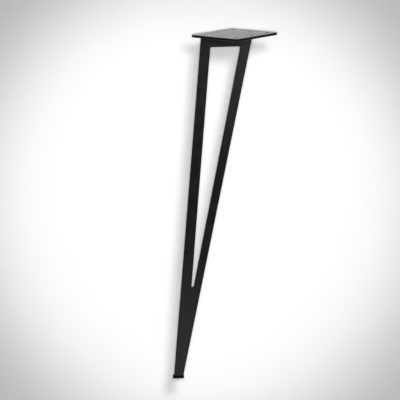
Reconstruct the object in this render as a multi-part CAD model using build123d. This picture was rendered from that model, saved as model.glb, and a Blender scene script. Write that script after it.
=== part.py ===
from build123d import *
import os

# Lengths are in millimetres.
# The origin is the centre of the mounting plate's top face, and +Z points up.
# The blade stands in the XZ plane and leans towards -X.
# The square plate is turned so that its corners point along X and Y.

# Mounting plate
plate_side = 125.0
plate_thickness = 5.0
plate_corner_radius = 8.0
plate_rim_radius = 0.8
plate_turn = -45.0
hole_diameter = 7.0
hole_offset = 46.0  # from the plate's middle to its outer rows of holes

# Blade outline, seen from the front
leg_height = 710.0
blade_thickness = 8.0
blade_top_left = -67.1
blade_top_right = 35.8
blade_tip_left = -139.2
blade_tip_right = -120.1
blade_edge_radius = 0.5

# Window in the blade
crossbar_height = 20.7
left_strut_width = 20.3  # level, at the window's top
right_strut_width = 20.6  # level, at the window's top
window_corner_radius = 2.5
window_end_radius = 2.2
window_end_left = -98.0  # level with the centre of the window's round lower end
window_end_height = 194.6  # from the floor to that centre

# Weld beads
weld_leg = 4.0
weld_bulge = 0.5
weld_inset = 4.0  # from the blade's outer edges to the bead's ends

# Foot cap
cap_width = 23.0
cap_depth = 12.0
cap_height = 5.5
cap_floor = 2.0
cap_corner_radius = 1.5
cap_rim_radius = 0.5

# Levels that follow from these sizes
blade_top = -plate_thickness
blade_tip = cap_floor - leg_height
window_top = blade_top - crossbar_height
window_end = window_end_height - leg_height


def edge_x(top_x, tip_x, z):
    """Where one outer edge of the blade stands at height z."""
    return top_x + (tip_x - top_x) * (blade_top - z) / (blade_top - blade_tip)


def mounting_plate():
    """Square plate with rounded corners, and no hole in the corner above the left strut."""
    plate = extrude(RectangleRounded(plate_side, plate_side, plate_corner_radius), plate_thickness)
    rims = plate.faces().sort_by(Axis.Z)[0].edges() + plate.faces().sort_by(Axis.Z)[-1].edges()
    plate = fillet(rims, plate_rim_radius)
    rows = (-hole_offset, 0, hole_offset)
    left_out = [(0, 0), (-hole_offset, -hole_offset)]
    places = [(x, y) for x in rows for y in rows if (x, y) not in left_out]
    holes = [Pos(x, y) * Circle(hole_diameter / 2) for x, y in places]
    plate -= extrude(Sketch() + holes, plate_thickness)
    return Pos(0, 0, -plate_thickness) * Rot(0, 0, plate_turn) * plate


def window_outline():
    """Long triangular window: a taut outline round two equal circles and a smaller one."""
    round_level = window_top - window_corner_radius
    window_left = edge_x(blade_top_left, blade_tip_left, window_top) + left_strut_width
    window_right = edge_x(blade_top_right, blade_tip_right, window_top) - right_strut_width
    rounds = [
        Pos(window_left + window_corner_radius, round_level) * Circle(window_corner_radius),
        Pos(window_right - window_corner_radius, round_level) * Circle(window_corner_radius),
        Pos(window_end_left + window_end_radius, window_end) * Circle(window_end_radius),
    ]
    return make_hull((Sketch() + rounds).edges())


def leg_blade():
    """Flat blade: a leaning outline, wide at the plate and narrow at the tip, round one window."""
    corners = [
        (blade_top_left, blade_top),
        (blade_top_right, blade_top),
        (blade_tip_right, blade_tip),
        (blade_tip_left, blade_tip),
    ]
    outline = make_face(Polyline(corners, close=True)) - window_outline()
    blade = extrude(Plane.XZ * outline, blade_thickness / 2, both=True)
    sides = blade.faces().filter_by(Axis.Y).edges()
    welded = sides.sort_by(Axis.Z)[-2:]
    return fillet(sides - welded, blade_edge_radius)


def weld_bead():
    """Fillet bead along the back of the blade, slightly full, with a round at each end."""
    root_y = blade_thickness / 2
    root = (root_y, blade_top)
    on_plate = (root_y + weld_leg, blade_top)
    on_blade = (root_y, blade_top - weld_leg)
    outline = Line(on_blade, root) + Line(root, on_plate) + SagittaArc(on_plate, on_blade, weld_bulge)
    start_x = blade_top_left + weld_inset + weld_leg
    end_x = blade_top_right - weld_inset - weld_leg
    section = Pos(end_x, 0, 0) * (Plane.YZ * make_face(outline))
    run = extrude(section, start_x - end_x)
    right_end = revolve(section, Axis((end_x, root_y, 0), (0, 0, -1)), 90)
    left_end = revolve(Pos(start_x - end_x, 0, 0) * section, Axis((start_x, root_y, 0), (0, 0, 1)), 90)
    return run + right_end + left_end


def foot_cap(blade):
    """Moulded cap on the blade's tip: its pocket has the tip's own shape."""
    tip_centre = (blade_tip_left + blade_tip_right) / 2
    cap = extrude(RectangleRounded(cap_width, cap_depth, cap_corner_radius), cap_height)
    rims = cap.faces().sort_by(Axis.Z)[0].edges() + cap.faces().sort_by(Axis.Z)[-1].edges()
    cap = fillet(rims, cap_rim_radius)
    return Pos(tip_centre, 0, -leg_height) * cap - blade


blade = leg_blade()
back_bead = weld_bead()
pieces = {
    "mounting_plate": mounting_plate(),
    "leg_blade": blade,
    "weld_back": back_bead,
    "weld_front": mirror(back_bead, about=Plane.XZ),
    "foot_cap": foot_cap(blade),
}
os.makedirs("parts", exist_ok=True)
for node, piece in pieces.items():
    export_step(piece, f"parts/{node}.step")
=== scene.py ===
"""Looks of a flat-blade steel table leg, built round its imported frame. Lengths are in metres."""
import math

import bmesh
import bpy
import numpy as np
from bpy.props import FloatProperty, FloatVectorProperty, IntProperty, PointerProperty
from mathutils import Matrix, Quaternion, Vector


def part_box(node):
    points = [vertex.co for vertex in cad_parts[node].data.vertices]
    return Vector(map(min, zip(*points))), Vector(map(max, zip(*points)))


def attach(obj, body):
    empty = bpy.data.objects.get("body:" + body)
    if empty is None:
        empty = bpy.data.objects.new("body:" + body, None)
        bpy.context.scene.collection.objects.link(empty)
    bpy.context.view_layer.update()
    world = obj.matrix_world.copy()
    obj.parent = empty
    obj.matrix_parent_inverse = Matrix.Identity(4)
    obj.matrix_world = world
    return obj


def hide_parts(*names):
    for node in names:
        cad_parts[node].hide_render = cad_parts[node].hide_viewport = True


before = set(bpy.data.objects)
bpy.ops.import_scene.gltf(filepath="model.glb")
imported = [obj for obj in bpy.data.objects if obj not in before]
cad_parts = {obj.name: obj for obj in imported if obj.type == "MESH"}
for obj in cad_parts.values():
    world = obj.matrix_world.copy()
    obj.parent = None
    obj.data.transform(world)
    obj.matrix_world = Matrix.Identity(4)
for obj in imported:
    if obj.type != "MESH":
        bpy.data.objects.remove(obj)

bl_info = {
    "name": "Flat-Blade Table Leg",
    "version": (1, 0, 0),
    "blender": (4, 5, 0),
    "location": "View3D > Sidebar > Table Leg",
    "description": "Coats, welds and caps a steel table leg, and sets up its photo stage",
    "category": "Add Mesh",
}

MM = 0.001
BODY = "root"
FOOT_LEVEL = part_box("foot_cap")[0][2]

MERGE_DISTANCE = 0.0005 * MM  # points nearer than this become one
WELD_SHARP_ANGLE = math.radians(60)

# Settings


class CoatSettings(bpy.types.PropertyGroup):
    """Powder coat on the plate, the blade and the welds."""

    colour: FloatVectorProperty(
        name="Colour", description="Colour of the powder coat", subtype="COLOR",
        default=(0.0034, 0.0033, 0.0016), min=0.0, max=1.0)
    roughness: FloatProperty(
        name="Roughness", description="How matt the coat is", subtype="FACTOR",
        default=0.23, min=0.0, max=1.0)
    gloss: FloatProperty(
        name="Gloss", description="Strength of the coat's reflections", subtype="FACTOR",
        default=0.4, min=0.0, max=1.0)
    cloud_size: FloatProperty(
        name="Cloud size", description="Width of one cloud in the coat's tone", unit="LENGTH",
        default=32 * MM, min=1.0 * MM)
    tone_drift: FloatProperty(
        name="Tone drift", description="Share by which the tone drifts in clouds", subtype="FACTOR",
        default=0.1, min=0.0, max=1.0)
    roughness_drift: FloatProperty(
        name="Roughness drift", description="How far the roughness drifts in clouds", subtype="FACTOR",
        default=0.04, min=0.0, max=0.2)
    peel_size: FloatProperty(
        name="Peel size", description="Width of one swell of the orange peel", unit="LENGTH",
        default=1.6 * MM, min=0.1 * MM)
    peel_depth: FloatProperty(
        name="Peel depth", description="Height of the orange peel", unit="LENGTH",
        default=0.02 * MM, min=0.0)
    grain_size: FloatProperty(
        name="Grain size", description="Width of one grain of the fused powder", unit="LENGTH",
        default=0.32 * MM, min=0.05 * MM)
    grain_depth: FloatProperty(
        name="Grain depth", description="Height of one grain", unit="LENGTH",
        default=0.008 * MM, min=0.0)
    cut_pitch: FloatProperty(
        name="Cut pitch", description="Width of one line that the laser left on a cut edge",
        unit="LENGTH", default=0.7 * MM, min=0.1 * MM)
    cut_depth: FloatProperty(
        name="Cut depth", description="Depth of those lines under the coat", unit="LENGTH",
        default=0.05 * MM, min=0.0)


class WeldSettings(bpy.types.PropertyGroup):
    """Two beads between the blade and the plate."""

    fullness: FloatProperty(
        name="Fullness", description="From a flat crown, 0, to a quarter circle, 1", subtype="FACTOR",
        default=0.28, min=0.0, max=1.0)
    wander: FloatProperty(
        name="Wander", description="Share by which the bead's width wanders", subtype="FACTOR",
        default=0.07, min=0.0, max=0.3)
    ripple_pitch: FloatProperty(
        name="Ripple pitch", description="From one ripple to the next", unit="LENGTH",
        default=1.7 * MM, min=0.3 * MM)
    ripple_height: FloatProperty(
        name="Ripple height", description="Depth of the valley between ripples", unit="LENGTH",
        default=0.28 * MM, min=0.0)
    ripple_lag: FloatProperty(
        name="Ripple lag", description="How far a ripple's toes trail its crown", unit="LENGTH",
        default=1.3 * MM, min=0.0)
    steps: IntProperty(
        name="Steps a ripple", description="Rows of points along one ripple", default=10, min=4)
    points_across: IntProperty(
        name="Points across", description="Points from one toe to the other", default=20, min=5)


class CapSettings(bpy.types.PropertyGroup):
    """Moulded cap on the blade's tip."""

    colour: FloatVectorProperty(
        name="Colour", description="Colour of the plastic", subtype="COLOR",
        default=(0.002, 0.002, 0.0021), min=0.0, max=1.0)
    roughness: FloatProperty(
        name="Roughness", description="How matt the plastic is", subtype="FACTOR",
        default=0.6, min=0.0, max=1.0)
    gloss: FloatProperty(
        name="Gloss", description="Strength of the plastic's reflections", subtype="FACTOR",
        default=0.1, min=0.0, max=1.0)
    cloud_size: FloatProperty(
        name="Cloud size", description="Width of one cloud in the plastic's tone", unit="LENGTH",
        default=12 * MM, min=1.0 * MM)
    tone_drift: FloatProperty(
        name="Tone drift", description="Share by which the tone drifts in clouds", subtype="FACTOR",
        default=0.08, min=0.0, max=1.0)
    roughness_drift: FloatProperty(
        name="Roughness drift", description="How far the roughness drifts in clouds", subtype="FACTOR",
        default=0.04, min=0.0, max=0.2)
    swell_size: FloatProperty(
        name="Swell size", description="Width of one swell of the moulded skin", unit="LENGTH",
        default=1.0 * MM, min=0.1 * MM)
    swell_depth: FloatProperty(
        name="Swell depth", description="Height of the swells", unit="LENGTH",
        default=0.004 * MM, min=0.0)
    grain_size: FloatProperty(
        name="Grain size", description="Width of one grain of the mould's texture", unit="LENGTH",
        default=0.25 * MM, min=0.05 * MM)
    grain_depth: FloatProperty(
        name="Grain depth", description="Height of one grain", unit="LENGTH",
        default=0.008 * MM, min=0.0)


class StageSettings(bpy.types.PropertyGroup):
    """Camera, backdrop and lights."""

    camera_place: FloatVectorProperty(
        name="Camera place", description="Where the camera stands", subtype="XYZ", unit="LENGTH",
        default=(-0.2236, -3.9598, 0.5196))
    camera_target: FloatVectorProperty(
        name="Camera target", description="Point in the middle of the frame", subtype="XYZ",
        unit="LENGTH", default=(-0.0764, 0.0, -0.3367))
    camera_roll: FloatProperty(
        name="Camera roll", description="Turn about the line of sight", unit="ROTATION",
        default=math.radians(1.371))
    camera_lens: FloatProperty(
        name="Camera lens", description="Focal length in millimetres on a 36 mm sensor",
        default=180.17)
    wall_gap: FloatProperty(
        name="Wall gap", description="From the leg's middle plane to the wall", unit="LENGTH",
        default=0.16)
    floor_drop: FloatProperty(
        name="Floor drop", description="From the leg's foot down to the floor", unit="LENGTH",
        default=0.15)
    backdrop_colour: FloatVectorProperty(
        name="Backdrop colour", description="Colour of the floor and wall", subtype="COLOR",
        default=(0.86, 0.86, 0.86), min=0.0, max=1.0)
    sky_seen: FloatProperty(
        name="Sky seen", description="Brightness of the world as the camera sees it",
        default=0.95, min=0.0)
    sky_light: FloatProperty(
        name="Sky light", description="Brightness of the world as it lights the leg",
        default=0.09, min=0.0)


# Meshes


def new_mesh(name, points, faces):
    """Mesh object from an array of points and an array of faces, shaded smooth, at the origin."""
    mesh = bpy.data.meshes.new(name)
    mesh.from_pydata(points.tolist(), [], faces.tolist())
    mesh.shade_smooth()
    piece = bpy.data.objects.new(name, mesh)
    bpy.context.scene.collection.objects.link(piece)
    return piece


def grid_faces(rows, columns, wrap):
    """Four-sided faces of a grid of points; with wrap, the last column joins the first."""
    index = np.arange(rows * columns).reshape(rows, columns)
    if wrap:
        index = np.concatenate([index, index[:, :1]], axis=1)
    corners = [index[:-1, :-1], index[:-1, 1:], index[1:, 1:], index[1:, :-1]]
    return np.stack(corners, axis=-1).reshape(-1, 4)


def seal_mesh(piece, sharp_angle):
    """Merges the points that meet at a pole, turns every face outwards and marks the sharp edges."""
    bm = bmesh.new()
    bm.from_mesh(piece.data)
    bmesh.ops.remove_doubles(bm, verts=bm.verts, dist=MERGE_DISTANCE)
    bmesh.ops.recalc_face_normals(bm, faces=bm.faces)
    bm.to_mesh(piece.data)
    bm.free()
    piece.data.set_sharp_from_angle(angle=sharp_angle)


# Node trees


def add_node(tree, kind, **settings):
    """New node of that kind, with its settings."""
    node = tree.nodes.new(kind)
    for key, value in settings.items():
        setattr(node, key, value)
    return node


def set_input(tree, socket, value):
    """Wires a socket to another one, or sets it to a plain number."""
    if isinstance(value, (int, float)):
        socket.default_value = value
    else:
        tree.links.new(value, socket)


def math_node(tree, operation, *values):
    """Result of a Math node whose inputs are sockets or plain numbers."""
    node = add_node(tree, "ShaderNodeMath", operation=operation)
    for socket, value in zip(node.inputs, values):
        set_input(tree, socket, value)
    return node.outputs[0]


def noise_node(tree, place, cell_width, detail=2.0):
    """Noise at a place, whose cells are so many metres wide; the width is a socket."""
    node = add_node(tree, "ShaderNodeTexNoise")
    node.inputs["Detail"].default_value = detail
    tree.links.new(place, node.inputs["Vector"])
    tree.links.new(math_node(tree, "DIVIDE", 1.0, cell_width), node.inputs["Scale"])
    return node.outputs["Fac"]


def new_group(name, inputs, outputs):
    """Empty shader node group: inputs are (name, socket type, default), outputs (name, socket type)."""
    group = bpy.data.node_groups.new(name, "ShaderNodeTree")
    for label, kind, default in inputs:
        socket = group.interface.new_socket(name=label, in_out="INPUT", socket_type=kind)
        socket.default_value = default
    for label, kind in outputs:
        group.interface.new_socket(name=label, in_out="OUTPUT", socket_type=kind)
    return group, group.nodes.new("NodeGroupInput"), group.nodes.new("NodeGroupOutput")


def place_group(tree, group, **values):
    """Result of a node group in a material, given values by socket name, where _ is a space."""
    node = add_node(tree, "ShaderNodeGroup", node_tree=group)
    for label, value in values.items():
        node.inputs[label.replace("_", " ")].default_value = value
    return node.outputs[0]


def surface_grain_group():
    """Height of a fused or moulded skin: broad swells plus fine grains, each a noise of its own."""
    if "Surface Grain" in bpy.data.node_groups:
        return bpy.data.node_groups["Surface Grain"]
    inputs = [
        ("Swell Size", "NodeSocketFloat", 1.5 * MM),
        ("Swell Height", "NodeSocketFloat", 0.02 * MM),
        ("Grain Size", "NodeSocketFloat", 0.3 * MM),
        ("Grain Height", "NodeSocketFloat", 0.005 * MM),
    ]
    group, given, made = new_group("Surface Grain", inputs, [("Height", "NodeSocketFloat")])
    place = add_node(group, "ShaderNodeTexCoord").outputs["Object"]
    heights = []
    for kind in ("Swell", "Grain"):
        noise = noise_node(group, place, given.outputs[f"{kind} Size"])
        heights.append(math_node(group, "MULTIPLY", noise, given.outputs[f"{kind} Height"]))
    group.links.new(math_node(group, "ADD", *heights), made.inputs["Height"])
    return group


def cloud_group():
    """Slow drift of a value between a low and a high one, as a noise of the given size."""
    if "Cloud" in bpy.data.node_groups:
        return bpy.data.node_groups["Cloud"]
    inputs = [
        ("Size", "NodeSocketFloat", 30 * MM),
        ("Low", "NodeSocketFloat", 0.0),
        ("High", "NodeSocketFloat", 1.0),
    ]
    usual_low, usual_high = 0.3, 0.7  # nearly all of the noise lies between these
    group, given, made = new_group("Cloud", inputs, [("Value", "NodeSocketFloat")])
    place = add_node(group, "ShaderNodeTexCoord").outputs["Object"]
    spread = add_node(group, "ShaderNodeMapRange")
    set_input(group, spread.inputs["Value"], noise_node(group, place, given.outputs["Size"], detail=3.0))
    set_input(group, spread.inputs["From Min"], usual_low)
    set_input(group, spread.inputs["From Max"], usual_high)
    set_input(group, spread.inputs["To Min"], given.outputs["Low"])
    set_input(group, spread.inputs["To Max"], given.outputs["High"])
    group.links.new(spread.outputs["Result"], made.inputs["Value"])
    return group


def cut_edge_group():
    """Height of a laser-cut edge: a noise that is drawn out through the sheet's thickness.

    Axis is the direction through the sheet. The lines fade out where the surface faces along it.
    """
    if "Cut Edge" in bpy.data.node_groups:
        return bpy.data.node_groups["Cut Edge"]
    inputs = [
        ("Axis", "NodeSocketVector", (0.0, 0.0, 1.0)),
        ("Pitch", "NodeSocketFloat", 0.7 * MM),
        ("Depth", "NodeSocketFloat", 0.05 * MM),
    ]
    drawn_share = 0.94  # 1 would carry each line unchanged from one face of the sheet to the other
    full_until, gone_from = 0.2, 0.5  # how much of the surface's normal points along Axis
    group, given, made = new_group("Cut Edge", inputs, [("Height", "NodeSocketFloat")])
    coordinates = add_node(group, "ShaderNodeTexCoord")
    along = add_node(group, "ShaderNodeVectorMath", operation="PROJECT")
    group.links.new(coordinates.outputs["Object"], along.inputs[0])
    group.links.new(given.outputs["Axis"], along.inputs[1])
    most = add_node(group, "ShaderNodeVectorMath", operation="SCALE")
    group.links.new(along.outputs[0], most.inputs[0])
    most.inputs["Scale"].default_value = drawn_share
    drawn_out = add_node(group, "ShaderNodeVectorMath", operation="SUBTRACT")
    group.links.new(coordinates.outputs["Object"], drawn_out.inputs[0])
    group.links.new(most.outputs[0], drawn_out.inputs[1])
    lines = noise_node(group, drawn_out.outputs[0], given.outputs["Pitch"])
    facing = add_node(group, "ShaderNodeVectorMath", operation="DOT_PRODUCT")
    group.links.new(coordinates.outputs["Normal"], facing.inputs[0])
    group.links.new(given.outputs["Axis"], facing.inputs[1])
    fade = add_node(group, "ShaderNodeMapRange", interpolation_type="SMOOTHSTEP")
    set_input(group, fade.inputs["Value"], math_node(group, "ABSOLUTE", facing.outputs["Value"]))
    set_input(group, fade.inputs["From Min"], full_until)
    set_input(group, fade.inputs["From Max"], gone_from)
    set_input(group, fade.inputs["To Min"], 1.0)
    set_input(group, fade.inputs["To Max"], 0.0)
    depth = math_node(group, "MULTIPLY", fade.outputs["Result"], given.outputs["Depth"])
    group.links.new(math_node(group, "MULTIPLY", lines, depth), made.inputs["Height"])
    return group


# Finishes


def skin_material(name, skin):
    """Material of a coated or moulded skin, whose tone and roughness drift in slow clouds."""
    material = bpy.data.materials.new(name)
    material.use_nodes = True
    tree = material.node_tree
    shader = tree.nodes["Principled BSDF"]
    shader.inputs["Specular IOR Level"].default_value = skin.gloss
    tone = place_group(
        tree, cloud_group(), Size=skin.cloud_size,
        Low=1 - skin.tone_drift, High=1 + skin.tone_drift)
    base = add_node(tree, "ShaderNodeVectorMath", operation="SCALE")
    base.inputs[0].default_value = skin.colour
    tree.links.new(tone, base.inputs["Scale"])
    tree.links.new(base.outputs[0], shader.inputs["Base Color"])
    size_ratio = 0.6  # of the roughness's clouds to those of the tone
    roughness = place_group(
        tree, cloud_group(), Size=skin.cloud_size * size_ratio,
        Low=skin.roughness - skin.roughness_drift, High=skin.roughness + skin.roughness_drift)
    tree.links.new(roughness, shader.inputs["Roughness"])
    return material


def bump_surface(material, height):
    """Raises a material's surface by a height in metres."""
    tree = material.node_tree
    bump = add_node(tree, "ShaderNodeBump")
    bump.inputs["Distance"].default_value = 1.0
    tree.links.new(height, bump.inputs["Height"])
    tree.links.new(bump.outputs["Normal"], tree.nodes["Principled BSDF"].inputs["Normal"])


def coat_material(name, coat, cut_axis=None):
    """Satin powder coat with orange peel and fine grain; cut_axis adds the lines of laser-cut edges."""
    if name in bpy.data.materials:
        return bpy.data.materials[name]
    material = skin_material(name, coat)
    tree = material.node_tree
    height = place_group(
        tree, surface_grain_group(), Swell_Size=coat.peel_size, Swell_Height=coat.peel_depth,
        Grain_Size=coat.grain_size, Grain_Height=coat.grain_depth)
    if cut_axis:
        cut = place_group(
            tree, cut_edge_group(), Axis=cut_axis, Pitch=coat.cut_pitch, Depth=coat.cut_depth)
        height = math_node(tree, "ADD", height, cut)
    bump_surface(material, height)
    return material


def cap_material(cap):
    """Matt moulded plastic with the mould's fine grain."""
    material = skin_material("cap_finish", cap)
    height = place_group(
        material.node_tree, surface_grain_group(),
        Swell_Size=cap.swell_size, Swell_Height=cap.swell_depth,
        Grain_Size=cap.grain_size, Grain_Height=cap.grain_depth)
    bump_surface(material, height)
    return material


def backdrop_material(colour):
    """Plain matt paper, seen only from its front."""
    material = bpy.data.materials.new("backdrop_paper")
    material.use_nodes = True
    tree = material.node_tree
    shader = tree.nodes["Principled BSDF"]
    shader.inputs["Base Color"].default_value = (*colour, 1.0)
    shader.inputs["Roughness"].default_value = 0.9
    shader.inputs["Specular IOR Level"].default_value = 0.1
    back = add_node(tree, "ShaderNodeNewGeometry").outputs["Backfacing"]
    clear = add_node(tree, "ShaderNodeBsdfTransparent")
    mix = add_node(tree, "ShaderNodeMixShader")
    tree.links.new(back, mix.inputs["Fac"])
    tree.links.new(shader.outputs[0], mix.inputs[1])
    tree.links.new(clear.outputs[0], mix.inputs[2])
    tree.links.new(mix.outputs[0], tree.nodes["Material Output"].inputs["Surface"])
    return material


def dress(node_name, material):
    """Gives every material slot of a carried-over node the same finish."""
    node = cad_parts[node_name]
    if not node.data.materials:
        node.data.materials.append(material)
    for slot in node.material_slots:
        slot.material = material


# Pieces of the leg


class LEG_OT_coat_steel(bpy.types.Operator):
    """Powder coats the mounting plate and the blade"""

    bl_idname = "leg.coat_steel"
    bl_label = "Coat the Steel"

    def execute(self, context):
        coat = context.scene.leg_coat
        dress("mounting_plate", coat_material("plate_coat", coat, cut_axis=(0.0, 0.0, 1.0)))
        dress("leg_blade", coat_material("blade_coat", coat, cut_axis=(0.0, 1.0, 0.0)))
        return {"FINISHED"}


def weld_shares(weld, s, length, leg):
    """Two shares of the bead's full size at s along it: of its round ends alone, and of ends and wander.

    The first is sqrt(1 - (1 - d / leg)^2), with d the distance to the nearer end, and 1 beyond one leg.
    The second is the first times 1 - wander * (1 + w(s)) / 2, where w is a sum of three sines and stays
    between -1 and 1.
    """
    from_end = np.minimum(s, length - s) / leg
    round_end = np.sqrt(1 - (1 - np.clip(from_end, 0, 1)) ** 2)
    sines = [(1.0, 4.3 * MM, 0.0), (0.7, 7.9 * MM, 1.0), (0.5, 2.1 * MM, 2.0)]
    waves = sum(weight * np.sin(s / radian + start) for weight, radian, start in sines)
    waves /= sum(weight for weight, _, _ in sines)
    return round_end, round_end * (1 - weld.wander * (1 + waves) / 2)


def weld_points(weld, low, high, side):
    """Points of one bead in the box from low to high, as rows along X of a closed section.

    s runs along the bead, and t runs across it from the toe on the plate, 0, to the toe on the blade, 1.
    With the leg as the unit and angles in degrees, the crown from toe to toe lies between its chord
    (1 - t, t) and its quarter circle (cos(90 t), sin(90 t)) by the share fullness. The corner of plate
    and blade closes the section. The bead's shares scale it, and between ripples the crown sinks towards
    the corner by ripple_height * (2 |f - 1/2|)^2.5 * sqrt(sin(180 t)), where f is the fraction of
    (s + ripple_lag * (1 - (2 t - 1)^2)) / ripple_pitch, so that a ripple's toes trail its crown.
    """
    leg = high.z - low.z
    length = high.x - low.x
    rows = int(length / weld.ripple_pitch * weld.steps) + 1
    s = np.linspace(0.0, length, rows)[:, None]
    t = np.linspace(0.0, 1.0, weld.points_across)[None, :]
    round_end, width = weld_shares(weld, s, length, leg)
    phase = (s + weld.ripple_lag * (1 - (2 * t - 1) ** 2)) / weld.ripple_pitch
    valley = (2 * np.abs(phase - np.floor(phase) - 0.5)) ** 2.5
    sinking = weld.ripple_height * round_end * valley * np.sqrt(np.sin(np.pi * t))
    angle = np.radians(90) * t
    chord = np.stack([1 - t, t], axis=-1)
    circle = np.stack([np.cos(angle), np.sin(angle)], axis=-1)
    crown = (1 - weld.fullness) * chord + weld.fullness * circle
    outward = crown / np.linalg.norm(crown, axis=-1, keepdims=True)
    section = leg * width[..., None] * crown - sinking[..., None] * outward
    section = np.concatenate([section, np.zeros((rows, 1, 2))], axis=1)
    root_y = high.y if side < 0 else low.y
    points = np.empty((*section.shape[:2], 3))
    points[..., 0] = low.x + s
    points[..., 1] = root_y + side * section[..., 0]
    points[..., 2] = high.z - section[..., 1]
    return points


class LEG_OT_lay_welds(bpy.types.Operator):
    """Lays the rippled beads between the blade and the plate"""

    bl_idname = "leg.lay_welds"
    bl_label = "Lay the Welds"

    def execute(self, context):
        for node, side in (("weld_front", -1), ("weld_back", 1)):
            low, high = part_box(node)
            points = weld_points(context.scene.leg_weld, low, high, side)
            faces = grid_faces(points.shape[0], points.shape[1], wrap=True)
            bead = new_mesh(node + "_bead", points.reshape(-1, 3), faces)
            seal_mesh(bead, WELD_SHARP_ANGLE)
            bead.data.materials.append(coat_material("weld_coat", context.scene.leg_coat))
            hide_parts(node)
            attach(bead, BODY)
        return {"FINISHED"}


class LEG_OT_mould_cap(bpy.types.Operator):
    """Gives the foot cap its moulded plastic"""

    bl_idname = "leg.mould_cap"
    bl_label = "Mould the Cap"

    def execute(self, context):
        dress("foot_cap", cap_material(context.scene.leg_cap))
        return {"FINISHED"}


# Stage


def backdrop_points(stage):
    """Rows of the sweep: a flat floor, a quarter round, then a wall, carried straight along X.

    With r the bend, the round is y = wall - r + r sin(a), z = floor + r - r cos(a), as a goes from 0 to a
    right angle.
    """
    half_width = 1.0
    wall_top = 0.5
    bend = 0.08
    floor_rows = [-2.6, -0.5, -0.1]  # the last one keeps the round's shading off the flat floor
    round_rows = 13
    columns = 9
    floor = FOOT_LEVEL - stage.floor_drop
    middle = stage.camera_target[0]
    wall = stage.wall_gap
    angle = np.linspace(0.0, math.pi / 2, round_rows)
    round_y = wall - bend + bend * np.sin(angle)
    round_z = floor + bend - bend * np.cos(angle)
    y = np.concatenate([floor_rows, round_y, [wall, wall]])
    z = np.concatenate([[floor] * len(floor_rows), round_z, [0.0, wall_top]])
    x = np.linspace(middle - half_width, middle + half_width, columns)
    points = np.empty((len(y), len(x), 3))
    points[..., 0] = x[None, :]
    points[..., 1] = y[:, None]
    points[..., 2] = z[:, None]
    return points


def photo_camera(stage):
    """Camera at its place, turned to its target, then rolled about the line of sight."""
    data = bpy.data.cameras.new("photo_camera")
    data.sensor_width = 36.0
    data.lens = stage.camera_lens
    data.clip_end = 50.0
    camera = bpy.data.objects.new("photo_camera", data)
    place, target = Vector(stage.camera_place), Vector(stage.camera_target)
    sight = (target - place).normalized()
    camera.location = place
    camera.rotation_mode = "QUATERNION"
    camera.rotation_quaternion = Quaternion(sight, stage.camera_roll) @ sight.to_track_quat("-Z", "Y")
    bpy.context.scene.collection.objects.link(camera)
    bpy.context.scene.camera = camera


def soft_lamp(name, target, azimuth, elevation, distance, radius, reach, fade, power, mirrored=True):
    """Round lamp with a round pool of light about its target.

    It is seen from the target at azimuth and elevation in degrees, where azimuth 0 is straight in front
    and positive is to the right. The pool reaches so far from the target, and fade is the share of it over
    which the light falls off. A lamp that isn't mirrored lights surfaces but doesn't shine in them.
    """
    turn, rise = math.radians(azimuth), math.radians(elevation)
    level = math.cos(rise)
    away = Vector((math.sin(turn) * level, -math.cos(turn) * level, math.sin(rise)))
    data = bpy.data.lights.new(name, "SPOT")
    data.spot_size = 2 * math.atan(reach / distance)
    data.spot_blend = fade
    data.shadow_soft_size = radius
    data.energy = power
    lamp = bpy.data.objects.new(name, data)
    lamp.location = target + distance * away
    lamp.rotation_euler = away.to_track_quat("Z", "Y").to_euler()
    lamp.visible_glossy = mirrored
    bpy.context.scene.collection.objects.link(lamp)


def hang_lamps(stage):
    """Lamps whose round pools lie on the wall in the middle of the picture, and one for the floor.

    The key lamp casts the leg's soft shadow, down and to its left. The front lamp fills that shadow, and
    would make the crossbar too pale if it were mirrored. The glint lamp gives the coat a soft sheen, and
    the floor lamp lights the floor that the blade's front mirrors.
    """
    place, target = Vector(stage.camera_place), Vector(stage.camera_target)
    sight = target - place
    on_wall = target + sight * (stage.wall_gap / sight.y)
    key_stand = {"azimuth": 4.4, "elevation": 21.2, "distance": 3.6, "radius": 0.25}
    soft_lamp("key_lamp", on_wall, **key_stand, reach=1.6, fade=0.1, power=191)
    soft_lamp("pool_lamp", on_wall, **key_stand, reach=0.56, fade=0.75, power=56)
    soft_lamp(
        "front_lamp", on_wall, azimuth=-2.1, elevation=12.4, distance=3.6, radius=0.1,
        reach=0.57, fade=0.6, power=280, mirrored=False)
    soft_lamp(
        "glint_lamp", on_wall, azimuth=11, elevation=0, distance=2.6, radius=0.15,
        reach=0.56, fade=0.75, power=7.4)
    pool_ahead = 0.8  # from the leg's plane to the middle of the pool on the floor
    on_floor = Vector((on_wall.x, -pool_ahead, FOOT_LEVEL - stage.floor_drop))
    soft_lamp(
        "floor_lamp", on_floor, azimuth=180, elevation=85, distance=1.79, radius=0.2,
        reach=0.55, fade=0.75, power=55)


def pale_world(seen, light):
    """World that the camera sees pale and that lights the leg more weakly."""
    world = bpy.data.worlds.new("studio")
    world.use_nodes = True
    tree = world.node_tree
    background = tree.nodes["Background"]
    background.inputs["Color"].default_value = (1.0, 1.0, 1.0, 1.0)
    camera_ray = add_node(tree, "ShaderNodeLightPath").outputs["Is Camera Ray"]
    extra = math_node(tree, "MULTIPLY", camera_ray, seen - light)
    tree.links.new(math_node(tree, "ADD", extra, light), background.inputs["Strength"])
    bpy.context.scene.world = world


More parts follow.
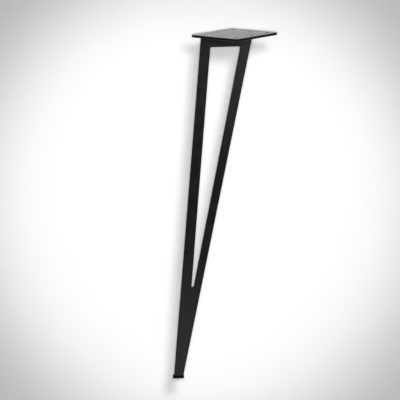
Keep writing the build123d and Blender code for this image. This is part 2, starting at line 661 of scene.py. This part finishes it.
class LEG_OT_set_stage(bpy.types.Operator):
    """Sets the camera, the pale sweep and the soft lights"""

    bl_idname = "leg.set_stage"
    bl_label = "Set the Stage"

    def execute(self, context):
        stage = context.scene.leg_stage
        photo_camera(stage)
        points = backdrop_points(stage)
        faces = grid_faces(points.shape[0], points.shape[1], wrap=False)
        sweep = new_mesh("backdrop", points.reshape(-1, 3), faces)
        sweep.data.materials.append(backdrop_material(stage.backdrop_colour))
        hang_lamps(stage)
        pale_world(stage.sky_seen, stage.sky_light)
        context.scene.view_settings.view_transform = "Standard"
        return {"FINISHED"}


# Add-on

SETTINGS = {
    "leg_stage": StageSettings,
    "leg_coat": CoatSettings,
    "leg_weld": WeldSettings,
    "leg_cap": CapSettings,
}
STEPS = {
    "leg_stage": "leg.set_stage",
    "leg_coat": "leg.coat_steel",
    "leg_weld": "leg.lay_welds",
    "leg_cap": "leg.mould_cap",
}


class VIEW3D_PT_table_leg(bpy.types.Panel):
    """Settings and steps of the table leg"""

    bl_label = "Table Leg"
    bl_space_type = "VIEW_3D"
    bl_region_type = "UI"
    bl_category = "Table Leg"

    def draw(self, context):
        for name, settings in SETTINGS.items():
            box = self.layout.box()
            for label in settings.__annotations__:
                box.prop(getattr(context.scene, name), label)
            box.operator(STEPS[name])


CLASSES = [
    *SETTINGS.values(),
    LEG_OT_set_stage,
    LEG_OT_coat_steel,
    LEG_OT_lay_welds,
    LEG_OT_mould_cap,
    VIEW3D_PT_table_leg,
]


def register():
    """Makes the settings, the operators and the panel known to Blender."""
    for cls in CLASSES:
        bpy.utils.register_class(cls)
    for name, settings in SETTINGS.items():
        setattr(bpy.types.Scene, name, PointerProperty(type=settings))


def unregister():
    """Takes them out again."""
    for name in SETTINGS:
        delattr(bpy.types.Scene, name)
    for cls in reversed(CLASSES):
        bpy.utils.unregister_class(cls)


def main():
    """Builds the stage and the leg's finishes."""
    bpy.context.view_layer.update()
    register()
    bpy.ops.leg.set_stage()
    bpy.ops.leg.coat_steel()
    bpy.ops.leg.lay_welds()
    bpy.ops.leg.mould_cap()
    bpy.context.view_layer.update()


if __name__ == "__main__":
    main()
